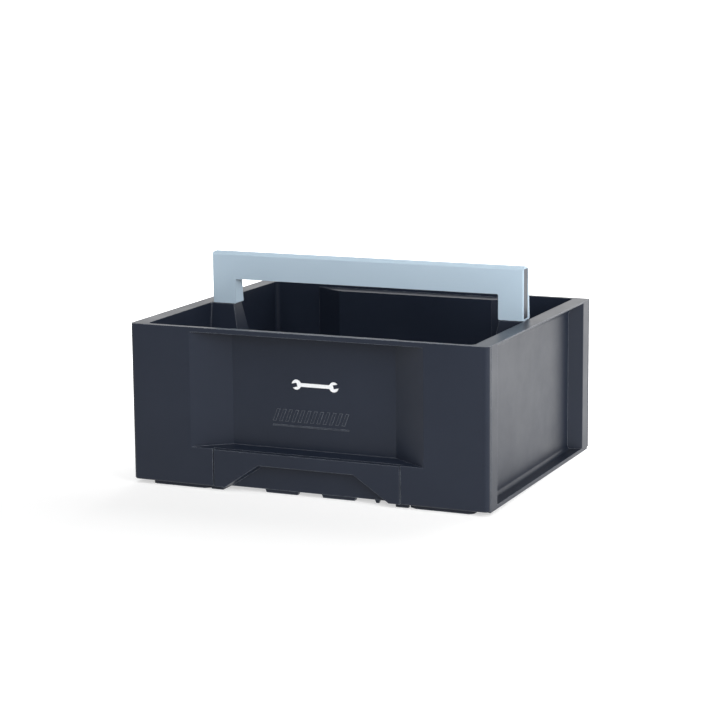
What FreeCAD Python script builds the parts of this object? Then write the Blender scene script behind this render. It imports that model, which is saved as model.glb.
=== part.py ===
import FreeCAD, Part
import math
import os

from FreeCAD import Vector

# Tool storage caddy: an open moulded tub with a fixed carrying handle and a sprung latch
# slider in the lower front edge. Millimetres; +X right, +Y to the rear, +Z up. The origin
# is on the surface that the caddy stands on, under the middle of the tub.

# Tub envelope
WIDTH = 396.0
DEPTH = 318.0
RIM_Z = 170.0
SKIRT_Z = 4.5
CORNER_R = 4.6
SKIRT_R = 2.0
HALF_W = WIDTH / 2
HALF_D = DEPTH / 2
PAST = 1.0
SAME = 1e-6

# Walls and floor
WALL = 3.0
END_WALL = 5.5
FLOOR_TOP = 14.0
FLOOR_BOTTOM = FLOOR_TOP - WALL
INNER_R = 6.0

# Side recess, the same on the left and the right
PANEL_X = 183.5
LIP_TOP = 7.5
LIP_BOTTOM = 3.1
LIP_FILLET = 4.0
FLARE_LOW_Z = 157.5
FLARE_TOP_Z = 168.5
RECESS_HALF_Y = 134.5
RECESS_PANEL_HALF_Y = 126.5
LIP_HALF_Y = 152.0
GROOVE_Y = 152.2
GROOVE_HALF = 0.7
GROOVE_DEPTH = 0.8
INNER_HALF_W = PANEL_X - WALL
INNER_HALF_D = HALF_D - END_WALL

# Sunk field in the front and rear walls; it stands into the tub as a shallow bay
FIELD_HALF_W = 129.5
FIELD_LOW_Z = 44.3
FIELD_TOP_Z = 164.9
FIELD_BACK_HALF_W = 91.1
FIELD_BACK_LOW_Z = 46.0
FIELD_BACK_TOP_Z = 163.5
FIELD_DEEP = 22.0
FIELD_BACK_Y = HALF_D - FIELD_DEEP
BAY_Y = FIELD_BACK_Y - WALL
BAY_TOP = RIM_Z - 3.5

# Latch slider and its pocket
PLATE_HALF_W = 103.7
PLATE_SIDE_GAP = 0.9
PLATE_TOP = 43.7
PLATE_T = 4.0
PLATE_BACK_Y = HALF_D - PLATE_T
GAP = 0.25
TRAVEL = 8.0
LEDGE_UNDER_Z = 41.0
PAN_POCKET_HALF_W = 96.5
PAN_POCKET_Y = 146.0
SPRING_POCKET_HALF_W = 90.0
PAN_TOP = 30.5
PAN_TOP_HALF_W = 53.0
PAN_LOW_HALF_W = 91.7
PAN_BEVEL = 2.0
PAN_DEPTH = 10.0
PAN_SKIN = 2.2
FLANGE_HALF_W = 107.0
FLANGE_ROOT_X = 100.0
FLANGE_T = 3.0
FLANGE_LOW = 9.3
FLANGE_TOP = LEDGE_UNDER_Z - TRAVEL - 0.3
GROOVE_LOW = FLANGE_LOW - 0.3
TOOTH_X0 = 12.8
TOOTH_X1 = 51.0
TOOTH_TAPER = 1.6
TOOTH_LOW = 0.5
TOOTH_TOP = 24.0
TOOTH_Y = 147.0
TOOTH_T = 5.0
FIN_X = 74.5
FIN_HALF_W = 3.0
FIN_TIP_HALF_W = 1.3
FIN_T = 3.5
FIN_TOP = 10.0

# Latch springs
SPRING_X = 70.0
SPRING_Y = 142.0
SPRING_OD = 7.0
WIRE_D = 0.6
SPRING_COILS = 8
SHELF_HALF = 6.0
SHELF_LOW = 10.0
SHELF_TOP = 12.5
SHELF_BACK_Y = 138.0
PEG_R = 2.3
PEG_LONG = 5.0

# Plinth that nests in the rim of a caddy underneath
PLINTH_HALF_W = 179.5
PLINTH_HALF_D = 152.5
PLINTH_T = 4.0
PLINTH_R = 6.0
BAY_WALL_Y = 116.0
RIB_T = 2.5
RIB_LOW = 5.0
RIBS_X = (-150.0, -100.0, -50.0, 0.0, 50.0, 100.0, 150.0)
RIBS_Y = (-75.0, -35.0, 35.0, 75.0, 115.0)

# Posts inside the side walls that carry the handle, as (z, inner x, front y, rear y)
POST_TOP = RIM_Z - 0.3
POST_ROOT_X = INNER_HALF_W + PAST
POST_SECTIONS = (
    (12.0, 141.0, -17.0, 18.5),
    (130.0, 145.3, -14.2, 15.4),
    (POST_TOP, 153.5, -9.0, 10.0),
)
POST_ROOT_FLARE = PAST + 1.2
POST_CORE_TOP = 160.0

# Handle: two half shells around a tongue on each post
HANDLE_HALF_W = 179.7
LEG_W = 28.2
HANDLE_LOW = 170.0
BAR_LOW = 196.8
HANDLE_FACE_Y = -7.0
HANDLE_FACE_TOP = 223.0
CROWN_TOP = 226.5
CROWN_Y = -0.8
HANDLE_REAR_LOW_Y = 11.2
HANDLE_REAR_SLOPE = 0.09
HANDLE_SKIN = 2.5
HANDLE_CORNER_R = 3.0
OPENING_R = 1.5
PARTING_Y = 1.5
PARTING_GAP = 0.05
HANDLE_EDGE_R = 2.0
END_LIP_T = 2.0
END_LIP_H = 1.8
END_OPENING_DEEP = 3.5
END_OPENING_FRONT_Y = -6.0
END_OPENING_REAR_Y = 5.2
TONGUE_GAP = 0.2
TONGUE_TOP = 222.0

# Handle screws, driven from the rear
SCREW_SPOTS = (
    (-166.0, 184.0), (-166.0, 212.0), (-60.0, 212.0),
    (60.0, 212.0), (166.0, 212.0), (166.0, 184.0),
)
SEAT_Y = 4.0
SCREW_LONG = 9.0
SHANK_R = 1.5
HEAD_R = 3.2
HEAD_H = 2.2
DRIVE_SIDES = 6
DRIVE_R = 1.2
DRIVE_DEEP = 1.2
FRONT_BOSS_R = 4.0
REAR_BOSS_R = 5.0
PILOT_R = 1.55
SHANK_HOLE_R = 1.8
COUNTERBORE_R = 3.5
TONGUE_HOLE_R = 5.3


def box(x0, x1, y0, y1, z0, z1):
    return Part.makeBox(x1 - x0, y1 - y0, z1 - z0, Vector(x0, y0, z0))


def centred_box(half_x, half_y, z0, z1):
    return box(-half_x, half_x, -half_y, half_y, z0, z1)


def face_of(points):
    return Part.Face(Part.makePolygon(points + points[:1]))


def prism_z(outline, z0, z1):
    return face_of([Vector(x, y, z0) for x, y in outline]).extrude(Vector(0, 0, z1 - z0))


def prism_y(outline, y0, y1):
    return face_of([Vector(x, y0, z) for x, z in outline]).extrude(Vector(0, y1 - y0, 0))


def loft(sections):
    wires = [Part.makePolygon(points + points[:1]) for points in sections]
    return Part.makeLoft(wires, True, True)


def cylinder_y(x, z, radius, y0, y1):
    return Part.makeCylinder(radius, y1 - y0, Vector(x, y0, z), Vector(0, 1, 0))


def mirror_x(shape):
    return shape.mirror(Vector(0, 0, 0), Vector(1, 0, 0))


def mirror_y(shape):
    return shape.mirror(Vector(0, 0, 0), Vector(0, 1, 0))


def both_sides(shape):
    return [shape, mirror_x(shape)]


def four_corners(shape):
    return both_sides(shape) + both_sides(mirror_y(shape))


def is_upright(edge):
    start, end = edge.Vertexes[0].Point, edge.Vertexes[-1].Point
    return abs(start.x - end.x) < SAME and abs(start.y - end.y) < SAME


def round_upright_edges(shape, radius):
    return shape.makeFillet(radius, [edge for edge in shape.Edges if is_upright(edge)])


def round_edges_at(shape, radius, z):
    level = [e for e in shape.Edges if all(abs(v.Z - z) < SAME for v in e.Vertexes)]
    return shape.makeFillet(radius, level)


def merged(shape):
    return shape.removeSplitter().Solids[0]


# Tub

def tub_block():
    block = round_upright_edges(centred_box(HALF_W, HALF_D, SKIRT_Z, RIM_Z), CORNER_R)
    block = round_edges_at(block, SKIRT_R, SKIRT_Z)
    side_lip = box(PANEL_X - WALL, HALF_W, -LIP_HALF_Y, LIP_HALF_Y, LIP_BOTTOM, LIP_TOP)
    return block.fuse(both_sides(side_lip))


def cavity():
    room = centred_box(INNER_HALF_W, INNER_HALF_D, FLOOR_TOP, RIM_Z + PAST)
    return round_edges_at(round_upright_edges(room, INNER_R), WALL, FLOOR_TOP)


def bay_outline():
    """Front bay in plan: the sunk field's walls, moved WALL into the tub."""
    run = FIELD_HALF_W - FIELD_BACK_HALF_W
    slant = math.hypot(run, FIELD_DEEP)
    shift = WALL * slant / FIELD_DEEP
    at_wall = FIELD_HALF_W + shift - END_WALL * run / FIELD_DEEP
    at_back = FIELD_HALF_W + shift - (HALF_D - BAY_Y) * run / FIELD_DEEP
    wall_y = -INNER_HALF_D - PAST
    at_root = at_wall + PAST * run / FIELD_DEEP
    return [(-at_root, wall_y), (at_root, wall_y), (at_back, -BAY_Y), (-at_back, -BAY_Y)]


def sunk_field():
    def ring(y, half_w, low, top):
        return [Vector(-half_w, y, low), Vector(half_w, y, low),
                Vector(half_w, y, top), Vector(-half_w, y, top)]
    return loft([
        ring(-HALF_D, FIELD_HALF_W, FIELD_LOW_Z, FIELD_TOP_Z),
        ring(-FIELD_BACK_Y, FIELD_BACK_HALF_W, FIELD_BACK_LOW_Z, FIELD_BACK_TOP_Z),
    ])


def side_recess():
    """Grip channel in the right-hand side: flat panel, lip under it, hollow flare above."""
    out = HALF_W + PAST
    corner = math.sqrt(0.5)
    flare_mid = Vector(
        HALF_W - (HALF_W - PANEL_X) * corner, 0,
        FLARE_LOW_Z + (FLARE_TOP_Z - FLARE_LOW_Z) * corner)
    fillet_mid = Vector(PANEL_X + LIP_FILLET * (1 - corner), 0, LIP_TOP + LIP_FILLET * (1 - corner))
    lip_end = Vector(PANEL_X + LIP_FILLET, 0, LIP_TOP)
    panel_low = Vector(PANEL_X, 0, LIP_TOP + LIP_FILLET)
    panel_top = Vector(PANEL_X, 0, FLARE_LOW_Z)
    flare_end = Vector(HALF_W, 0, FLARE_TOP_Z)
    edges = [
        Part.makeLine(Vector(out, 0, LIP_TOP), lip_end),
        Part.Arc(lip_end, fillet_mid, panel_low).toShape(),
        Part.makeLine(panel_low, panel_top),
        Part.Arc(panel_top, flare_mid, flare_end).toShape(),
        Part.makeLine(flare_end, Vector(out, 0, FLARE_TOP_Z)),
        Part.makeLine(Vector(out, 0, FLARE_TOP_Z), Vector(out, 0, LIP_TOP)),
    ]
    profile = Part.Face(Part.Wire(edges))
    profile.translate(Vector(0, -HALF_D, 0))
    channel = profile.extrude(Vector(0, DEPTH, 0))
    draft = (RECESS_HALF_Y - RECESS_PANEL_HALF_Y) / (HALF_W - PANEL_X)
    near = RECESS_PANEL_HALF_Y - PAST * draft
    far = RECESS_HALF_Y + 2 * PAST * draft
    plan = [(PANEL_X - PAST, -near), (HALF_W + 2 * PAST, -far),
            (HALF_W + 2 * PAST, far), (PANEL_X - PAST, near)]
    return channel.common(prism_z(plan, 0, RIM_Z))


def corner_groove():
    outline = [(HALF_W + PAST, GROOVE_Y - GROOVE_HALF), (HALF_W, GROOVE_Y - GROOVE_HALF),
               (HALF_W - GROOVE_DEPTH, GROOVE_Y), (HALF_W, GROOVE_Y + GROOVE_HALF),
               (HALF_W + PAST, GROOVE_Y + GROOVE_HALF)]
    return prism_z(outline, SKIRT_Z, RIM_Z)


def corner_core():
    """Hollow moulded up into a corner column from below."""
    return box(PANEL_X + PAST / 2, HALF_W - WALL, RECESS_HALF_Y + WALL, HALF_D - WALL,
               0, FLARE_LOW_Z)


def post_section(z, inner_x, front_y, rear_y, root_x):
    return [Vector(inner_x, front_y, z), Vector(root_x, front_y, z),
            Vector(root_x, rear_y, z), Vector(inner_x, rear_y, z)]


def flared_post_section(z, inner_x, front_y, rear_y):
    """The section spreads where it meets the side wall."""
    flare = POST_ROOT_FLARE
    return [Vector(inner_x, front_y, z), Vector(POST_ROOT_X - flare, front_y, z),
            Vector(POST_ROOT_X, front_y - flare, z), Vector(POST_ROOT_X, rear_y + flare, z),
            Vector(POST_ROOT_X - flare, rear_y, z), Vector(inner_x, rear_y, z)]


def post():
    return loft([flared_post_section(*section) for section in POST_SECTIONS])


def post_core():
    """The post's inside, one wall in from its faces and open to the underside."""
    low, waist, top = POST_SECTIONS
    rise = (POST_CORE_TOP - waist[0]) / (top[0] - waist[0])
    roof = tuple(a + (b - a) * rise for a, b in zip(waist, top))
    levels = [(-PAST,) + low[1:], low, waist, roof]
    return loft([post_section(z, x + WALL, y0 + WALL, y1 - WALL, INNER_HALF_W)
                 for z, x, y0, y1 in levels])


def tongue():
    """Wedge on the right-hand post that fills the handle's leg, its tip flush with the end."""
    x0 = HANDLE_HALF_W - LEG_W + HANDLE_SKIN + TONGUE_GAP
    x1 = HANDLE_HALF_W - END_LIP_T - TONGUE_GAP
    low = POST_TOP - PAST
    front = HANDLE_FACE_Y + HANDLE_SKIN + TONGUE_GAP
    rear = [handle_rear_y(z) - HANDLE_SKIN - TONGUE_GAP for z in (low, TONGUE_TOP)]
    wedge = loft([
        [Vector(x0, front, low), Vector(x1, front, low),
         Vector(x1, rear[0], low), Vector(x0, rear[0], low)],
        [Vector(x0, front, TONGUE_TOP), Vector(x1, front, TONGUE_TOP),
         Vector(x1, rear[1], TONGUE_TOP), Vector(x0, rear[1], TONGUE_TOP)],
    ])
    tip = box(HANDLE_HALF_W - END_OPENING_DEEP + TONGUE_GAP, HANDLE_HALF_W - TONGUE_GAP,
              END_OPENING_FRONT_Y + TONGUE_GAP, END_OPENING_REAR_Y - TONGUE_GAP,
              HANDLE_LOW + END_LIP_H + TONGUE_GAP, CROWN_TOP - HANDLE_SKIN - TONGUE_GAP)
    holes = [cylinder_y(x, z, TONGUE_HOLE_R, -HALF_D, HALF_D) for x, z in SCREW_SPOTS if x > x0]
    return wedge.fuse(tip).cut(holes)


def plinth():
    outer = round_upright_edges(
        centred_box(PLINTH_HALF_W, PLINTH_HALF_D, 0, FLOOR_TOP - PAST), PLINTH_R)
    inner = round_upright_edges(
        centred_box(PLINTH_HALF_W - PLINTH_T, PLINTH_HALF_D - PLINTH_T, -PAST, FLOOR_TOP),
        PLINTH_R - PLINTH_T)
    ring = outer.cut(inner)
    bay_half_w = PAN_POCKET_HALF_W + PLINTH_T
    bay_wall = box(-bay_half_w, bay_half_w, -BAY_WALL_Y - PLINTH_T, -BAY_WALL_Y,
                   0, FLOOR_TOP - PAST)
    bay_side = box(PAN_POCKET_HALF_W, bay_half_w, -PLINTH_HALF_D, -BAY_WALL_Y,
                   0, FLOOR_TOP - PAST)
    return ring.fuse([bay_wall] + both_sides(bay_side))


def underside_ribs():
    half_w = PLINTH_HALF_W - PLINTH_T / 2
    half_d = PLINTH_HALF_D - PLINTH_T / 2
    top = FLOOR_TOP - PAST
    ribs = []
    for x in RIBS_X:
        front = -BAY_WALL_Y - PLINTH_T / 2 if abs(x) < PAN_POCKET_HALF_W else -half_d
        ribs.append(box(x - RIB_T / 2, x + RIB_T / 2, front, half_d, RIB_LOW, top))
    for y in RIBS_Y:
        ribs.append(box(-half_w, half_w, y - RIB_T / 2, y + RIB_T / 2, RIB_LOW, top))
    return ribs


def latch_pocket():
    """Space for the slider: open in front and below, with a guide groove at each end."""
    half_w = PLATE_HALF_W + PLATE_SIDE_GAP
    plate = box(-half_w, half_w, -HALF_D - PAST, -PLATE_BACK_Y + GAP, -PAST, FIELD_LOW_Z + PAST)
    pan = box(-PAN_POCKET_HALF_W, PAN_POCKET_HALF_W, -PLATE_BACK_Y, -PAN_POCKET_Y,
              -PAST, LEDGE_UNDER_Z)
    deep = box(-SPRING_POCKET_HALF_W, SPRING_POCKET_HALF_W, -PAN_POCKET_Y, -FIELD_BACK_Y,
               -PAST, LEDGE_UNDER_Z)
    groove = box(PAN_POCKET_HALF_W - PAST, FLANGE_HALF_W + GAP, -PLATE_BACK_Y - GAP,
                 -PLATE_BACK_Y + FLANGE_T + GAP, GROOVE_LOW, LEDGE_UNDER_Z)
    return plate.fuse([pan, deep] + both_sides(groove))


def latch_cheek_core():
    """Hollow beside the latch pocket, where the bay would otherwise be thick."""
    x0 = FLANGE_HALF_W + GAP + WALL
    front_y = -HALF_D + WALL
    run = (FIELD_HALF_W - FIELD_BACK_HALF_W) / FIELD_DEEP
    x1 = FIELD_HALF_W - WALL * run
    back_y = front_y + (x1 - x0) / run
    return prism_z([(x0, front_y), (x1, front_y), (x0, back_y)], 0, LEDGE_UNDER_Z)


def locking_tooth(top):
    """Right-hand tooth of the front pair, which drops into the rim of a box underneath."""
    outline = [(TOOTH_X0, top), (TOOTH_X0, SKIRT_Z), (TOOTH_X0 + TOOTH_TAPER, TOOTH_LOW),
               (TOOTH_X1 - TOOTH_TAPER, TOOTH_LOW), (TOOTH_X1, SKIRT_Z), (TOOTH_X1, top)]
    return prism_y(outline, -TOOTH_Y, -TOOTH_Y + TOOTH_T)


def rear_core():
    """Open chambers under the rear sunk field."""
    chambers = box(-SPRING_POCKET_HALF_W, SPRING_POCKET_HALF_W, FIELD_BACK_Y, HALF_D - WALL,
                   0, LEDGE_UNDER_Z)
    webs = [box(x - WALL / 2, x + WALL / 2, FIELD_BACK_Y - PAST, HALF_D, 0, LEDGE_UNDER_Z)
            for x in (-SPRING_POCKET_HALF_W / 3, SPRING_POCKET_HALF_W / 3)]
    return chambers.cut(webs)


def spring_peg(x, z0, z1):
    return Part.makeCylinder(PEG_R, z1 - z0, Vector(x, -SPRING_Y, z0))


def tub():
    bay = prism_z(bay_outline(), FLOOR_TOP - PAST, BAY_TOP)
    field = sunk_field()
    underside = centred_box(PLINTH_HALF_W - PLINTH_T, PLINTH_HALF_D - PLINTH_T,
                            -PAST, FLOOR_BOTTOM)
    posts = both_sides(post().fuse(tongue()))
    body = tub_block().cut(cavity())
    body = body.fuse([bay, mirror_y(bay)] + posts)
    body = body.cut([field, mirror_y(field), underside])
    body = body.fuse([plinth()] + underside_ribs())
    cores = both_sides(post_core()) + both_sides(latch_cheek_core()) + four_corners(corner_core())
    body = body.cut(both_sides(side_recess()) + four_corners(corner_groove()) + cores)
    body = body.cut([latch_pocket(), rear_core()])
    pegs = both_sides(spring_peg(SPRING_X, LEDGE_UNDER_Z - PEG_LONG, LEDGE_UNDER_Z + PAST))
    rear_teeth = both_sides(mirror_y(locking_tooth(LEDGE_UNDER_Z + PAST)))
    return merged(body.fuse(pegs + rear_teeth))


# Handle

def handle_rear_y(z):
    return HANDLE_REAR_LOW_Y - HANDLE_REAR_SLOPE * (z - HANDLE_LOW)


def handle_section():
    """Side view of the handle: upright front, leaning rear, crowned top."""
    rear_top = Vector(0, handle_rear_y(HANDLE_FACE_TOP), HANDLE_FACE_TOP)
    front_low = Vector(0, HANDLE_FACE_Y, HANDLE_LOW)
    front_top = Vector(0, HANDLE_FACE_Y, HANDLE_FACE_TOP)
    rear_low = Vector(0, HANDLE_REAR_LOW_Y, HANDLE_LOW)
    edges = [
        Part.makeLine(front_low, front_top),
        Part.Arc(front_top, Vector(0, CROWN_Y, CROWN_TOP), rear_top).toShape(),
        Part.makeLine(rear_top, rear_low),
        Part.makeLine(rear_low, front_low),
    ]
    return Part.Face(Part.Wire(edges))


def handle_outside():
    section = handle_section()
    section.translate(Vector(-HANDLE_HALF_W, 0, 0))
    solid = section.extrude(Vector(2 * HANDLE_HALF_W, 0, 0))
    outline = box(-HANDLE_HALF_W, HANDLE_HALF_W, -HALF_D, HALF_D, HANDLE_LOW - HALF_D, CROWN_TOP)
    outline = outline.makeFillet(HANDLE_CORNER_R, [
        e for e in outline.Edges
        if all(abs(v.Z - CROWN_TOP) < SAME and abs(abs(v.X) - HANDLE_HALF_W) < SAME
               for v in e.Vertexes)])
    half_open = HANDLE_HALF_W - LEG_W
    opening = box(-half_open, half_open, -HALF_D, HALF_D, 0, BAR_LOW)
    opening = opening.makeFillet(OPENING_R, [
        e for e in opening.Edges
        if all(abs(v.Z - BAR_LOW) < SAME and abs(abs(v.X) - half_open) < SAME
               for v in e.Vertexes)])
    plan = box(-HANDLE_HALF_W, HANDLE_HALF_W, HANDLE_FACE_Y, HALF_D, 0, 2 * RIM_Z)
    plan = plan.makeFillet(HANDLE_EDGE_R, [
        e for e in plan.Edges
        if is_upright(e) and abs(e.Vertexes[0].Y - HANDLE_FACE_Y) < SAME])
    return solid.common(outline).common(plan).cut(opening)


def handle_inside():
    """The shells' hollow: along the bar, down both legs, and open at the outer ends."""
    low = HANDLE_LOW - PAST
    top = CROWN_TOP - HANDLE_SKIN
    front = HANDLE_FACE_Y + HANDLE_SKIN
    reach = HANDLE_HALF_W + PAST
    outline = [(front, low), (front, top), (handle_rear_y(top) - HANDLE_SKIN, top),
               (handle_rear_y(low) - HANDLE_SKIN, low)]
    hollow = face_of([Vector(-reach, y, z) for y, z in outline]).extrude(Vector(2 * reach, 0, 0))
    half_open = HANDLE_HALF_W - LEG_W + HANDLE_SKIN
    return hollow.cut(box(-half_open, half_open, -HALF_D, HALF_D, 0, BAR_LOW + HANDLE_SKIN))


def end_opening():
    """Right-hand window in the shells' end, where the tongue's tip shows."""
    return box(HANDLE_HALF_W - END_OPENING_DEEP, WIDTH, END_OPENING_FRONT_Y,
               END_OPENING_REAR_Y, HANDLE_LOW + END_LIP_H, CROWN_TOP - HANDLE_SKIN)


def handle_skins():
    """Both shells in one: hollow, with a lip round the window in each end."""
    outside = handle_outside()
    end_strips = both_sides(box(HANDLE_HALF_W - END_LIP_T, WIDTH, -HALF_D, HALF_D, 0, WIDTH))
    lips = [strip.common(outside) for strip in end_strips]
    return merged(outside.cut(handle_inside()).fuse(lips).cut(both_sides(end_opening())))


def handle_front_shell():
    front_half = box(-WIDTH, WIDTH, -HALF_D, PARTING_Y - PARTING_GAP, 0, 2 * RIM_Z)
    shell = handle_skins().common(front_half)
    bosses = [cylinder_y(x, z, FRONT_BOSS_R, HANDLE_FACE_Y + HANDLE_SKIN / 2,
                         PARTING_Y - PARTING_GAP) for x, z in SCREW_SPOTS]
    pilots = [cylinder_y(x, z, PILOT_R, SEAT_Y - SCREW_LONG - PAST / 2, HALF_D)
              for x, z in SCREW_SPOTS]
    return merged(shell.fuse(bosses).cut(pilots))


def handle_rear_shell():
    rear_half = box(-WIDTH, WIDTH, PARTING_Y + PARTING_GAP, HALF_D, 0, 2 * RIM_Z)
    shell = handle_skins().common(rear_half)
    bosses = [cylinder_y(x, z, REAR_BOSS_R, PARTING_Y + PARTING_GAP,
                         handle_rear_y(z) - HANDLE_SKIN / 2) for x, z in SCREW_SPOTS]
    holes = [cylinder_y(x, z, SHANK_HOLE_R, 0, HALF_D) for x, z in SCREW_SPOTS]
    counterbores = [cylinder_y(x, z, COUNTERBORE_R, SEAT_Y, HALF_D) for x, z in SCREW_SPOTS]
    return merged(shell.fuse(bosses).cut(holes + counterbores))


def handle_screw(x, z):
    shank = cylinder_y(x, z, SHANK_R, SEAT_Y - SCREW_LONG, SEAT_Y + PAST)
    head = cylinder_y(x, z, HEAD_R, SEAT_Y, SEAT_Y + HEAD_H)
    corners = [2 * math.pi * i / DRIVE_SIDES for i in range(DRIVE_SIDES)]
    drive = [Vector(x + DRIVE_R * math.cos(angle), SEAT_Y + HEAD_H - DRIVE_DEEP,
                    z + DRIVE_R * math.sin(angle)) for angle in corners]
    socket = face_of(drive).extrude(Vector(0, 2 * DRIVE_DEEP, 0))
    return merged(shank.fuse(head).cut(socket))


def handle_screws():
    return Part.makeCompound([handle_screw(x, z) for x, z in SCREW_SPOTS])


# Latch

def finger_pan(grow, y_front, y_back):
    """Trapezoid cup, narrower towards its back; grow widens it for the pan's skin."""
    rise = PAN_TOP - SKIRT_Z
    run = PAN_LOW_HALF_W - PAN_TOP_HALF_W
    across = math.hypot(run, rise)

    def ring(y, inset):
        top = PAN_TOP - inset
        low = SKIRT_Z - PAST
        side_shift = inset * across / rise
        low_half = PAN_LOW_HALF_W + PAST * run / rise - side_shift
        top_half = PAN_LOW_HALF_W - (top - SKIRT_Z) * run / rise - side_shift
        return [Vector(-low_half, y, low), Vector(low_half, y, low),
                Vector(top_half, y, top), Vector(-top_half, y, top)]
    return loft([ring(y_front, -grow), ring(y_back, PAN_BEVEL - grow)])




def latch_fin():
    outline = [(FIN_X - FIN_HALF_W, FIN_TOP), (FIN_X - FIN_HALF_W, SKIRT_Z),
               (FIN_X - FIN_TIP_HALF_W, TOOTH_LOW), (FIN_X + FIN_TIP_HALF_W, TOOTH_LOW),
               (FIN_X + FIN_HALF_W, SKIRT_Z), (FIN_X + FIN_HALF_W, FIN_TOP)]
    return prism_y(outline, -TOOTH_Y, -TOOTH_Y + FIN_T)


def latch_slider():
    plate = box(-PLATE_HALF_W, PLATE_HALF_W, -HALF_D, -PLATE_BACK_Y, SKIRT_Z, PLATE_TOP)
    skin_back = -HALF_D + PAN_DEPTH + PAN_SKIN
    skin = finger_pan(PAN_SKIN, -PLATE_BACK_Y - PAST, skin_back)
    skin = skin.common(box(-WIDTH, WIDTH, -HALF_D, HALF_D, SKIRT_Z, RIM_Z))
    flange = box(FLANGE_ROOT_X, FLANGE_HALF_W, -PLATE_BACK_Y, -PLATE_BACK_Y + FLANGE_T,
                 FLANGE_LOW, FLANGE_TOP)
    flange_root = box(FLANGE_ROOT_X, PLATE_HALF_W, -PLATE_BACK_Y - PAST, -PLATE_BACK_Y + FLANGE_T,
                      FLANGE_LOW, FLANGE_TOP)
    shelf = box(SPRING_X - SHELF_HALF, SPRING_X + SHELF_HALF, skin_back - PAST, -SHELF_BACK_Y,
                SHELF_LOW, SHELF_TOP)
    peg = spring_peg(SPRING_X, SHELF_TOP - PAST, SHELF_TOP + PEG_LONG)
    back = [locking_tooth(TOOTH_TOP), flange, flange_root, shelf, peg]
    body = plate.fuse([skin, latch_fin()] + back + [mirror_x(piece) for piece in back])
    return merged(body.cut(finger_pan(0.0, -HALF_D, -HALF_D + PAN_DEPTH)))


def latch_spring(x):
    height = LEDGE_UNDER_Z - SHELF_TOP - WIRE_D
    coil_r = (SPRING_OD - WIRE_D) / 2
    path = Part.makeHelix(height / SPRING_COILS, height, coil_r)
    section = Part.Wire(Part.makeCircle(WIRE_D / 2, Vector(coil_r, 0, 0), Vector(0, 1, 0)))
    coil = Part.Wire(path).makePipeShell([section], True, True)
    coil.translate(Vector(x, -SPRING_Y, SHELF_TOP + WIRE_D / 2))
    return coil


def build():
    return {
        "tub": tub(),
        "handle_front_shell": handle_front_shell(),
        "handle_rear_shell": handle_rear_shell(),
        "handle_screws": handle_screws(),
        "latch_slider": latch_slider(),
        "latch_spring_left": latch_spring(-SPRING_X),
        "latch_spring_right": latch_spring(SPRING_X),
    }


os.makedirs("parts", exist_ok=True)
for name, shape in build().items():
    shape.exportStep(f"parts/{name}.step")
    bounds = shape.BoundBox
    print(f"{name}: solids {len(shape.Solids)} valid {shape.isValid()} volume {shape.Volume:.0f}"
          f" z {bounds.ZMin:.2f}..{bounds.ZMax:.2f}")
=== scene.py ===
import math

import bmesh
import bpy
from mathutils import Matrix, Vector


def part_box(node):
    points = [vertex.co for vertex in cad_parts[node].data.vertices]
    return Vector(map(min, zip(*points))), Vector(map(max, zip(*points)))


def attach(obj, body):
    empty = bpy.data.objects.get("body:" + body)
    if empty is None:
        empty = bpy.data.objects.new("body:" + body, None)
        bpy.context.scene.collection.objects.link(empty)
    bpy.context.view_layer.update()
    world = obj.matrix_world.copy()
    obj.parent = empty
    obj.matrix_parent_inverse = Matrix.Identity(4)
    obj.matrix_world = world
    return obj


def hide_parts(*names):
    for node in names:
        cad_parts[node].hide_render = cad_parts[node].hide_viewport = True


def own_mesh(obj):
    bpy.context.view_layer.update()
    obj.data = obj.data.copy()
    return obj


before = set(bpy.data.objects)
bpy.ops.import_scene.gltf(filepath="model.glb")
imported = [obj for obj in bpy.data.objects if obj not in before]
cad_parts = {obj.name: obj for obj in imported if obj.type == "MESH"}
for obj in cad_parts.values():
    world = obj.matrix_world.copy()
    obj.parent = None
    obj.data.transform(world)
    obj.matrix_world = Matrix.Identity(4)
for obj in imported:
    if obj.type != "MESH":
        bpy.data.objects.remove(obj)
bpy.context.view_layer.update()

# Tool storage caddy: materials, rounded visible shells, small surface details, light and camera.
# Metres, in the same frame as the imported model.

MM = 0.001
SCENE = bpy.context.scene

# Camera: a view from the front right, a little above the rim
CAMERA_AZIMUTH = math.radians(23.761)
CAMERA_ELEVATION = math.radians(10.616)
CAMERA_ROLL = math.radians(-0.528)
CAMERA_DISTANCE = 2.398
CAMERA_TARGET = Vector((-0.00797, 0.0, 0.1158))
LENS = 112.07
SENSOR = 36.0
CLIP_START = 0.05
CLIP_END = 200.0

# Rounding of the visible edges
TUB_EDGE = 0.5 * MM
HANDLE_FRONT_EDGE = 1.0 * MM
HANDLE_REAR_EDGE = 0.8 * MM
LATCH_EDGE = 0.4 * MM
SCREW_EDGE = 0.15 * MM

# Springs
WIRE_D = 0.6 * MM
COILS = 8
CLOSED_TURNS = 1
STEPS_PER_TURN = 32
WIRE_SIDES = 10

# Printed spanner on the front field: how far it stands out of the wall and reaches into it
FIELD_DEEP = 22.0 * MM
PRINT_CENTRE = (2.3 * MM, 113.7 * MM)
PRINT_LENGTH = 52.0 * MM
PRINT_PROUD = 0.10 * MM
PRINT_SUNK = 0.05 * MM
HEAD_R = 5.2 * MM
HEAD_STEPS = 24
BAR_HALF = 1.9 * MM
JAW_HALF = 2.1 * MM
JAW_TILT = math.radians(15.0)
JAW_FLOOR_SHARE = 0.1

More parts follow.
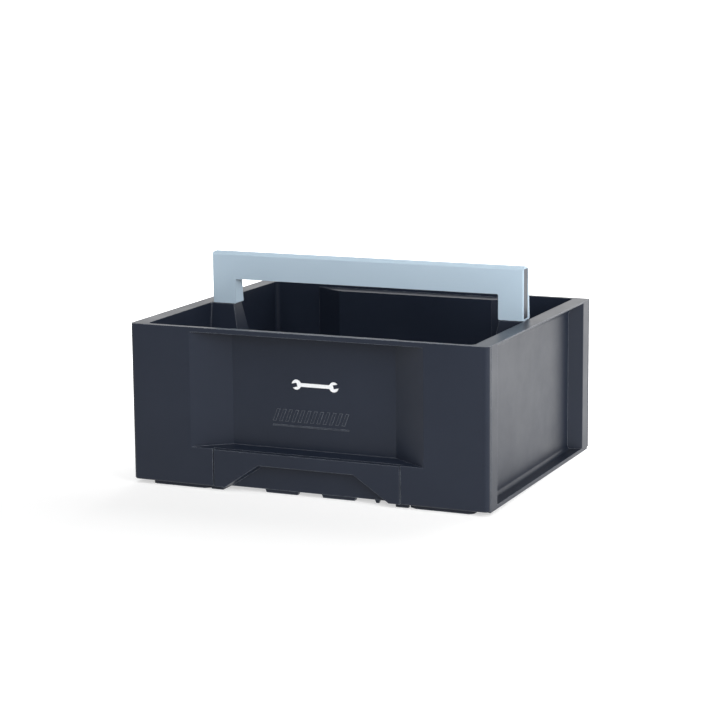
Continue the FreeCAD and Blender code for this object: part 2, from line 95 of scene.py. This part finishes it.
# Moulded hatch under it, over a line
HATCH_X0 = -45.5 * MM
HATCH_PITCH = 7.0 * MM
HATCH_WIDTH = 3.6 * MM
HATCH_LEAN = 5.0 * MM
HATCH_COUNT = 12
HATCH_LOW = 74.5 * MM
HATCH_TOP = 87.3 * MM
HATCH_PROUD = 0.45 * MM
HATCH_SUNK = 0.2 * MM
LINE_LOW = 69.4 * MM
LINE_TOP = 71.0 * MM

# Studio: how bright the walls are in front, behind and overhead, and where they change
SKY_FRONT = 0.28
SKY_BACK = 1.5
SKY_TOP_SHARE = 0.22
SKY_DEPTH = (-0.4, 0.9)
SKY_HEIGHT = (0.1, 0.75)

# Floor: its glow near the caddy, further round it, behind it, and what is left of it in front
FLOOR_HALF = 60.0
FLOOR_COLOUR = (0.55, 0.55, 0.55)
FLOOR_GLOW_NEAR = 0.42
FLOOR_GLOW_AROUND = 0.2
FLOOR_GLOW_BEHIND = 1.1
FLOOR_FRONT_SHARE = 0.5
FLOOR_AROUND = (0.4, 1.4)
FLOOR_BEHIND_Y = (-0.35, 0.6)
FLOOR_FRONT_Y = (-1.10, -0.60)

# Mesh work
WELD = 1e-6
FLAT_ANGLE = math.radians(0.5)
SHARP_ANGLE = math.radians(16.0)
SHORT_EDGE = 1.2 * MM
OFF_PLANE = 0.03 * MM
LARGE_FACE = 20 * MM * MM
ROUNDING_ATTEMPTS = 5
ROUNDING_SEGMENTS = 2
SPARED_RADII = 4
ROUND_ANGLE = math.radians(60.0)


# Small helpers

def link(obj):
    SCENE.collection.objects.link(obj)
    return obj


def is_long(edge):
    return edge.calc_length() > SHORT_EDGE


def is_sharp(edge):
    return len(edge.link_faces) == 2 and edge.calc_face_angle() > SHARP_ANGLE


def bent_corners(work, box):
    """Corners where the rounding went wrong: off their flat face's plane or out of the box."""
    low, high = box
    found = [vert.co.copy() for vert in work.verts
             if any(vert.co[i] < low[i] - OFF_PLANE or vert.co[i] > high[i] + OFF_PLANE
                    for i in range(3))]
    for face in work.faces:
        if len(face.verts) > 3 and face.calc_area() > LARGE_FACE:
            middle = face.calc_center_median()
            worst = max(face.verts, key=lambda vert: abs((vert.co - middle).dot(face.normal)))
            if abs((worst.co - middle).dot(face.normal)) > OFF_PLANE:
                found.append(worst.co.copy())
    return found


def rounded_mesh(node, radius, spared):
    """The node's mesh with its long sharp edges bevelled, except at the spared corners."""
    work = bmesh.new()
    work.from_mesh(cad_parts[node].data)
    bmesh.ops.remove_doubles(work, verts=work.verts, dist=WELD)
    bmesh.ops.join_triangles(
        work, faces=work.faces, angle_face_threshold=FLAT_ANGLE, angle_shape_threshold=math.pi)
    sharp = [edge for edge in work.edges if is_sharp(edge)]
    left_alone = {vert for edge in sharp if not is_long(edge) for vert in edge.verts}
    left_alone.update(vert for vert in work.verts
                      if any((vert.co - spot).length < SPARED_RADII * radius for spot in spared))
    clear = [edge for edge in sharp if is_long(edge) and not left_alone.intersection(edge.verts)]
    made = bmesh.ops.bevel(
        work, geom=clear, offset=radius, offset_type="OFFSET", segments=ROUNDING_SEGMENTS,
        profile=0.5, affect="EDGES", clamp_overlap=False, loop_slide=False)
    work.normal_update()
    work.faces.index_update()
    for face in work.faces:
        face.smooth = True
    return work, {face.index for face in made["faces"]}


def corner_normal(face, others, strips):
    """A flat face keeps its own normal, a curve's facets blend, a rounding meets its neighbour."""
    plain = [other for other in others if other.index not in strips]
    lead = face
    if face.index in strips:
        beside = [other for other in plain if other.normal.angle(face.normal) < ROUND_ANGLE]
        if beside:
            lead = max(beside, key=lambda other: other.normal.dot(face.normal))
        else:
            plain = others
    limit = SHARP_ANGLE if lead in plain and lead.index not in strips else ROUND_ANGLE
    total = Vector()
    for other in plain:
        if other.normal.angle(lead.normal) < limit:
            total += other.normal * other.area
    return total.normalized() if total.length else face.normal.copy()


def set_normals(mesh, strips):
    around = [[] for _ in mesh.vertices]
    for face in mesh.polygons:
        for vert in face.vertices:
            around[vert].append(face)
    mesh.normals_split_custom_set(
        [corner_normal(face, around[vert], strips)
         for face in mesh.polygons for vert in face.vertices])


def softened(node, name, radius):
    """A piece with the CAD node's shape, its long sharp edges rounded as a mould leaves them."""
    spared = []
    work, strips = rounded_mesh(node, radius, spared)
    for _ in range(ROUNDING_ATTEMPTS):
        bent = [spot for spot in bent_corners(work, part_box(node)) if spot not in spared]
        if not bent:
            break
        spared += bent
        work.free()
        work, strips = rounded_mesh(node, radius, spared)
    mesh = bpy.data.meshes.new(name)
    work.to_mesh(mesh)
    work.free()
    set_normals(mesh, strips)
    return link(bpy.data.objects.new(name, mesh))


def dress(piece, material, body):
    piece.data.materials.clear()
    piece.data.materials.append(material)
    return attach(piece, body)


# Materials

PLASTIC_IOR = 1.31
GRAIN_SCALE = 1600.0
SINK_DEPTH = 0.4 * MM
SCRATCH_DEPTH = 0.02 * MM
# Edge lightening: partly wear, partly a painted highlight along the edges
EDGE_WEAR_AND_HIGHLIGHT_RADIUS = 1.0 * MM
EDGE_WEAR_AND_HIGHLIGHT_LEAN = (0.86, 0.985)
TARNISH = 0.72


class Nodes:
    """Short way to write a node material."""

    def __init__(self, name):
        self.material = bpy.data.materials.new(name)
        self.material.use_nodes = True
        self.tree = self.material.node_tree
        self.tree.nodes.clear()
        self.out = self.add("ShaderNodeOutputMaterial")
        self.shader = self.add("ShaderNodeBsdfPrincipled")
        self.wire(self.shader, "BSDF", self.out, "Surface")

    def add(self, kind, **values):
        node = self.tree.nodes.new(kind)
        for key, value in values.items():
            setattr(node, key, value)
        return node

    def wire(self, source, output, target, socket):
        self.tree.links.new(source.outputs[output], target.inputs[socket])

    def place(self):
        return self.add("ShaderNodeTexCoord")

    def noise(self, place, scale, detail=2.0, rough=0.5):
        node = self.add("ShaderNodeTexNoise")
        node.inputs["Scale"].default_value = scale
        node.inputs["Detail"].default_value = detail
        node.inputs["Roughness"].default_value = rough
        self.wire(place, "Object", node, "Vector")
        return node

    def ramp(self, source, output, low, high, low_value, high_value):
        """A value carried from the range low..high to low_value..high_value."""
        node = self.add("ShaderNodeMapRange")
        node.inputs["From Min"].default_value = low
        node.inputs["From Max"].default_value = high
        node.inputs["To Min"].default_value = low_value
        node.inputs["To Max"].default_value = high_value
        self.wire(source, output, node, "Value")
        return node

    def mix(self, factor, output, first, second):
        node = self.add("ShaderNodeMix", data_type="RGBA")
        node.inputs["A"].default_value = (*first, 1.0)
        node.inputs["B"].default_value = (*second, 1.0)
        self.wire(factor, output, node, "Factor")
        return node


def wear_and_highlight_edges(nodes):
    """0 on flat faces, 1 along outer edges: how far a rounded normal leans from the real one. It
    lightens edges as wear and as a painted highlight along them.
    """
    bevel = nodes.add("ShaderNodeBevel", samples=4)
    bevel.inputs["Radius"].default_value = EDGE_WEAR_AND_HIGHLIGHT_RADIUS
    geometry = nodes.add("ShaderNodeNewGeometry")
    dot = nodes.add("ShaderNodeVectorMath", operation="DOT_PRODUCT")
    nodes.wire(bevel, "Normal", dot, 0)
    nodes.wire(geometry, "Normal", dot, 1)
    leaning, flat = EDGE_WEAR_AND_HIGHLIGHT_LEAN
    return nodes.ramp(dot, "Value", flat, leaning, 0.0, 1.0)


def moulded_plastic(name, colour, shade, worn_and_highlit, roughness, grain_depth):
    """Spark-eroded injection moulding: fine pebble grain, faint flow mottling, lighter edges that are
    partly wear and partly a painted highlight.
    """
    nodes = Nodes(name)
    place = nodes.place()
    cloud = nodes.noise(place, 9.0, 3.0)
    mottled = nodes.mix(nodes.ramp(cloud, "Fac", 0.3, 0.7, 0.0, 1.0), "Result", colour, shade)
    wear_and_highlight = wear_and_highlight_edges(nodes)
    scuffs = nodes.noise(place, 160.0, 4.0, 0.7)
    patchy = nodes.ramp(scuffs, "Fac", 0.40, 0.65, 0.45, 1.0)
    worn_and_highlit_share = nodes.add("ShaderNodeMath", operation="MULTIPLY")
    nodes.wire(wear_and_highlight, "Result", worn_and_highlit_share, 0)
    nodes.wire(patchy, "Result", worn_and_highlit_share, 1)
    # Edges lightened towards the third colour: partly wear, partly a painted highlight where light
    # catches them
    edged = nodes.add("ShaderNodeMix", data_type="RGBA")
    edged.inputs["B"].default_value = (*worn_and_highlit, 1.0)
    nodes.tree.links.new(worn_and_highlit_share.outputs["Value"], edged.inputs["Factor"])
    nodes.tree.links.new(mottled.outputs["Result"], edged.inputs["A"])
    nodes.tree.links.new(edged.outputs["Result"], nodes.shader.inputs["Base Color"])

    handling = nodes.noise(place, 22.0, 5.0, 0.65)
    rough = nodes.ramp(handling, "Fac", 0.25, 0.75, roughness - 0.05, roughness + 0.06)
    nodes.wire(rough, "Result", nodes.shader, "Roughness")
    nodes.shader.inputs["IOR"].default_value = PLASTIC_IOR

    grain = nodes.add("ShaderNodeTexVoronoi", feature="F1")
    grain.inputs["Scale"].default_value = GRAIN_SCALE
    nodes.wire(place, "Object", grain, "Vector")
    pebble = nodes.add("ShaderNodeBump")
    pebble.inputs["Strength"].default_value = 0.25
    pebble.inputs["Distance"].default_value = grain_depth
    nodes.wire(grain, "Distance", pebble, "Height")
    sink = nodes.noise(place, 14.0, 2.0)
    wave = nodes.add("ShaderNodeBump")
    wave.inputs["Strength"].default_value = 0.12
    wave.inputs["Distance"].default_value = SINK_DEPTH
    nodes.wire(sink, "Fac", wave, "Height")
    nodes.wire(pebble, "Normal", wave, "Normal")
    nodes.wire(wave, "Normal", nodes.shader, "Normal")
    return nodes.material


def plated_steel(name, colour, roughness):
    """Zinc plate or drawn wire: metal with fine scratches and cloudy patches."""
    nodes = Nodes(name)
    place = nodes.place()
    patches = nodes.noise(place, 600.0, 4.0)
    darker = tuple(TARNISH * part for part in colour)
    tone = nodes.mix(nodes.ramp(patches, "Fac", 0.3, 0.7, 0.0, 1.0), "Result", colour, darker)
    nodes.tree.links.new(tone.outputs["Result"], nodes.shader.inputs["Base Color"])
    nodes.shader.inputs["Metallic"].default_value = 1.0
    scratches = nodes.noise(place, 2500.0, 6.0, 0.7)
    rough = nodes.ramp(scratches, "Fac", 0.3, 0.7, roughness - 0.06, roughness + 0.1)
    nodes.wire(rough, "Result", nodes.shader, "Roughness")
    bump = nodes.add("ShaderNodeBump")
    bump.inputs["Strength"].default_value = 0.2
    bump.inputs["Distance"].default_value = SCRATCH_DEPTH
    nodes.wire(scratches, "Fac", bump, "Height")
    nodes.wire(bump, "Normal", nodes.shader, "Normal")
    return nodes.material


def printed_ink(name):
    """White pad print, a little thin in places."""
    nodes = Nodes(name)
    place = nodes.place()
    thin = nodes.noise(place, 900.0, 3.0)
    tone = nodes.mix(nodes.ramp(thin, "Fac", 0.35, 0.65, 0.0, 1.0), "Result",
                     (0.86, 0.87, 0.88), (0.74, 0.76, 0.78))
    nodes.tree.links.new(tone.outputs["Result"], nodes.shader.inputs["Base Color"])
    nodes.shader.inputs["Roughness"].default_value = 0.4
    return nodes.material


# The third colour of each plastic lightens its edges: partly wear, partly a painted highlight
ANTHRACITE = moulded_plastic(
    "anthracite_plastic", (0.0120, 0.0165, 0.0285), (0.0145, 0.0195, 0.0330), (0.20, 0.22, 0.25),
    0.34, 0.012 * MM)
BLUE_GREY = moulded_plastic(
    "blue_grey_plastic", (0.420, 0.530, 0.625), (0.445, 0.555, 0.650), (0.47, 0.57, 0.66),
    0.45, 0.03 * MM)
ZINC = plated_steel("zinc_plate", (0.62, 0.63, 0.65), 0.32)
WIRE = plated_steel("spring_wire", (0.66, 0.66, 0.67), 0.26)
INK = printed_ink("white_print")


# The caddy's pieces

def soft_copy(node, name, material, body, radius):
    piece = softened(node, name, radius)
    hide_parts(node)
    return dress(piece, material, body)


soft_copy("tub", "tub_shell", ANTHRACITE, "caddy", TUB_EDGE)
soft_copy("handle_front_shell", "handle_front", BLUE_GREY, "caddy",
          HANDLE_FRONT_EDGE)
soft_copy("handle_rear_shell", "handle_rear", BLUE_GREY, "caddy",
          HANDLE_REAR_EDGE)
soft_copy("latch_slider", "latch_face", ANTHRACITE, "latch", LATCH_EDGE)
soft_copy("handle_screws", "handle_screw_set", ZINC, "caddy", SCREW_EDGE)


def coil_height(turn, low, high):
    """Height along a spring of COILS turns whose end turns lie closed and flat."""
    closed = WIRE_D * CLOSED_TURNS
    if turn <= CLOSED_TURNS:
        return low + WIRE_D * turn
    if turn >= COILS - CLOSED_TURNS:
        return high - WIRE_D * (COILS - turn)
    share = (turn - CLOSED_TURNS) / (COILS - 2 * CLOSED_TURNS)
    return low + closed + (high - low - 2 * closed) * share


def coil_mesh(name, middle, radius, low, high):
    """Round wire wound about a vertical line through middle."""
    work = bmesh.new()
    rings = []
    for step in range(COILS * STEPS_PER_TURN + 1):
        turn = step / STEPS_PER_TURN
        around = 2 * math.pi * turn
        outward = Vector((math.cos(around), math.sin(around), 0.0))
        centre = Vector((middle.x, middle.y, coil_height(turn, low, high))) + outward * radius
        ring = []
        for side in range(WIRE_SIDES):
            bend = 2 * math.pi * side / WIRE_SIDES
            offset = outward * math.cos(bend) + Vector((0.0, 0.0, math.sin(bend)))
            ring.append(work.verts.new(centre + offset * (WIRE_D / 2)))
        rings.append(ring)
    for ring, after in zip(rings, rings[1:]):
        for side in range(WIRE_SIDES):
            other = (side + 1) % WIRE_SIDES
            work.faces.new((ring[side], after[side], after[other], ring[other]))
    work.faces.new(rings[0])
    work.faces.new(list(reversed(rings[-1])))
    bmesh.ops.recalc_face_normals(work, faces=work.faces)
    for face in work.faces:
        face.smooth = len(face.verts) == 4
    mesh = bpy.data.meshes.new(name)
    work.to_mesh(mesh)
    work.free()
    return mesh


def latch_spring(node, name):
    """Compression spring with its two end turns closed, built as a coil of one fixed length."""
    box_low, box_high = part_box(node)
    middle = (Vector(box_low) + Vector(box_high)) / 2
    radius = (box_high[0] - box_low[0] - WIRE_D) / 2
    mesh = coil_mesh(name, middle, radius, box_low[2] + WIRE_D / 2, box_high[2] - WIRE_D / 2)
    piece = link(bpy.data.objects.new(name, mesh))
    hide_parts(node)
    dress(piece, WIRE, "caddy")
    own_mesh(piece)


latch_spring("latch_spring_left", "spring_left")
latch_spring("latch_spring_right", "spring_right")


# Marks on the front field's back wall: a printed spanner and a moulded hatch, both generic

def raised_shapes(name, outlines, surface_y, proud, sunk):
    """Flat shapes, as (x, z) outlines, standing proud of a wall that faces the front."""
    work = bmesh.new()
    for outline in outlines:
        face = work.faces.new([work.verts.new((x, surface_y + sunk, z)) for x, z in outline])
        grown = bmesh.ops.extrude_face_region(work, geom=[face])
        moved = [item for item in grown["geom"] if isinstance(item, bmesh.types.BMVert)]
        bmesh.ops.translate(work, verts=moved, vec=(0.0, -proud - sunk, 0.0))
    bmesh.ops.recalc_face_normals(work, faces=work.faces)
    bmesh.ops.triangulate(work, faces=[face for face in work.faces if len(face.verts) > 4])
    mesh = bpy.data.meshes.new(name)
    work.to_mesh(mesh)
    work.free()
    return link(bpy.data.objects.new(name, mesh))


def head_arc(reach, start, stop):
    """Part of a spanner head's circle, whose centre is reach along X."""
    turns = [start + (stop - start) * i / HEAD_STEPS for i in range(HEAD_STEPS + 1)]
    return [(reach + HEAD_R * math.cos(turn), HEAD_R * math.sin(turn)) for turn in turns]


def spanner_outline():
    """Double-ended open spanner lying along X, as a closed list of (x, z)."""
    reach = PRINT_LENGTH / 2 - HEAD_R
    root = math.pi - math.asin(BAR_HALF / HEAD_R)
    jaw = math.asin(JAW_HALF / HEAD_R)
    jaw_floor = [(reach - math.sin(JAW_TILT) * side - JAW_FLOOR_SHARE * HEAD_R,
                  math.cos(JAW_TILT) * side) for side in (-JAW_HALF, JAW_HALF)]
    points = head_arc(reach, -root, JAW_TILT - jaw) + jaw_floor
    points += head_arc(reach, JAW_TILT + jaw, root)
    turned = [(-x, -z) for x, z in points]
    return [(PRINT_CENTRE[0] + x, PRINT_CENTRE[1] + z) for x, z in points + turned]


def slanted_bar(x, low, high, width, lean):
    return [(x, low), (x + width, low), (x + width + lean, high), (x + lean, high)]


def field_wall_y():
    """The recessed wall between the front face and the tool bay."""
    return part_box("tub")[0][1] + FIELD_DEEP


def marks():
    wall = field_wall_y()
    spanner = raised_shapes(
        "printed_spanner", [spanner_outline()], wall, PRINT_PROUD, PRINT_SUNK)
    dress(spanner, INK, "caddy")
    shapes = [slanted_bar(HATCH_X0 + i * HATCH_PITCH, HATCH_LOW, HATCH_TOP, HATCH_WIDTH, HATCH_LEAN)
              for i in range(HATCH_COUNT)]
    line_length = HATCH_COUNT * HATCH_PITCH + HATCH_LEAN - HATCH_PITCH / 2
    shapes.append(slanted_bar(HATCH_X0, LINE_LOW, LINE_TOP, line_length, 0.0))
    hatch = raised_shapes("moulded_hatch", shapes, wall, HATCH_PROUD, HATCH_SUNK)
    dress(hatch, ANTHRACITE, "caddy")


marks()


# Studio

def floor():
    """Pale table top that glows near the caddy, more behind it, and fades out in front."""
    mesh = bpy.data.meshes.new("floor")
    corners = [(x * FLOOR_HALF, y * FLOOR_HALF, 0) for x, y in ((-1, -1), (1, -1), (1, 1), (-1, 1))]
    mesh.from_pydata(corners, [], [(0, 1, 2, 3)])
    piece = link(bpy.data.objects.new("floor", mesh))
    nodes = Nodes("pale_floor")
    nodes.shader.inputs["Base Color"].default_value = (*FLOOR_COLOUR, 1.0)
    nodes.shader.inputs["Roughness"].default_value = 0.9
    nodes.shader.inputs["Emission Color"].default_value = (1.0, 1.0, 1.0, 1.0)
    place = nodes.place()
    split = nodes.add("ShaderNodeSeparateXYZ")
    nodes.wire(place, "Object", split, "Vector")
    reach = nodes.add("ShaderNodeVectorMath", operation="LENGTH")
    nodes.wire(place, "Object", reach, "Vector")
    behind = nodes.ramp(split, "Y", *FLOOR_BEHIND_Y, 0.0, FLOOR_GLOW_BEHIND)
    fade = nodes.ramp(split, "Y", *FLOOR_FRONT_Y, FLOOR_FRONT_SHARE, 1.0)
    around = nodes.ramp(reach, "Value", *FLOOR_AROUND, FLOOR_GLOW_NEAR,
                        FLOOR_GLOW_NEAR + FLOOR_GLOW_AROUND)
    for ramp in (behind, fade, around):
        ramp.interpolation_type = "SMOOTHSTEP"
    glow = nodes.add("ShaderNodeMath", operation="MULTIPLY_ADD")
    nodes.wire(around, "Result", glow, 0)
    nodes.wire(fade, "Result", glow, 1)
    nodes.wire(behind, "Result", glow, 2)
    nodes.wire(glow, "Value", nodes.shader, "Emission Strength")
    mesh.materials.append(nodes.material)


def sky():
    """White walls behind the caddy, a dim room on the other sides and a dark ceiling."""
    world = bpy.data.worlds.new("studio")
    world.use_nodes = True
    tree = world.node_tree
    background = tree.nodes["Background"]
    background.inputs["Color"].default_value = (1.0, 1.0, 1.0, 1.0)

    def ramp(source, output, from_low, from_high, to_low, to_high):
        node = tree.nodes.new("ShaderNodeMapRange")
        node.interpolation_type = "SMOOTHSTEP"
        node.inputs["From Min"].default_value = from_low
        node.inputs["From Max"].default_value = from_high
        node.inputs["To Min"].default_value = to_low
        node.inputs["To Max"].default_value = to_high
        tree.links.new(source.outputs[output], node.inputs["Value"])
        return node

    place = tree.nodes.new("ShaderNodeTexCoord")
    split = tree.nodes.new("ShaderNodeSeparateXYZ")
    tree.links.new(place.outputs["Generated"], split.inputs["Vector"])
    depth = ramp(split, "Y", *SKY_DEPTH, SKY_FRONT, SKY_BACK)
    height = ramp(split, "Z", *SKY_HEIGHT, 1.0, SKY_TOP_SHARE)
    product = tree.nodes.new("ShaderNodeMath")
    product.operation = "MULTIPLY"
    tree.links.new(depth.outputs["Result"], product.inputs[0])
    tree.links.new(height.outputs["Result"], product.inputs[1])
    tree.links.new(product.outputs["Value"], background.inputs["Strength"])
    SCENE.world = world


def softbox(name, azimuth, elevation, distance, size, power):
    """A rectangular lamp that faces the caddy and is not seen itself; angles in degrees."""
    light = bpy.data.lights.new(name, "AREA")
    light.shape = "RECTANGLE"
    light.size, light.size_y = size
    light.energy = power
    lamp = link(bpy.data.objects.new(name, light))
    a, e = math.radians(azimuth), math.radians(elevation)
    toward = Vector((math.sin(a) * math.cos(e), -math.cos(a) * math.cos(e), math.sin(e)))
    lamp.rotation_mode = "QUATERNION"
    lamp.rotation_quaternion = toward.to_track_quat("Z", "Y")
    lamp.location = CAMERA_TARGET + toward * distance
    lamp.visible_camera = False


def camera():
    lens = bpy.data.cameras.new("camera")
    lens.lens = LENS
    lens.sensor_width = SENSOR
    lens.clip_start = CLIP_START
    lens.clip_end = CLIP_END
    piece = link(bpy.data.objects.new("camera", lens))
    a, e, r = CAMERA_AZIMUTH, CAMERA_ELEVATION, CAMERA_ROLL
    back = Vector((math.sin(a) * math.cos(e), -math.cos(a) * math.cos(e), math.sin(e)))
    right = Vector((math.cos(a), math.sin(a), 0.0))
    up = back.cross(right)
    tilted_right = right * math.cos(r) + up * math.sin(r)
    tilted_up = up * math.cos(r) - right * math.sin(r)
    turn = Matrix((tilted_right, tilted_up, back)).transposed()
    piece.matrix_world = Matrix.Translation(CAMERA_TARGET + back * CAMERA_DISTANCE) @ turn.to_4x4()
    SCENE.camera = piece


floor()
sky()
softbox("key_light", azimuth=60.0, elevation=20.0, distance=1.7, size=(0.9, 0.9), power=18.0)
softbox("top_light", azimuth=-22.0, elevation=58.0, distance=1.9, size=(1.4, 1.0), power=12.0)
softbox("front_light", azimuth=16.0, elevation=26.0, distance=2.2, size=(1.2, 0.8), power=13.0)
softbox("back_light", azimuth=170.0, elevation=50.0, distance=2.2, size=(1.8, 1.2), power=22.0)
camera()
SCENE.view_settings.view_transform = "Standard"
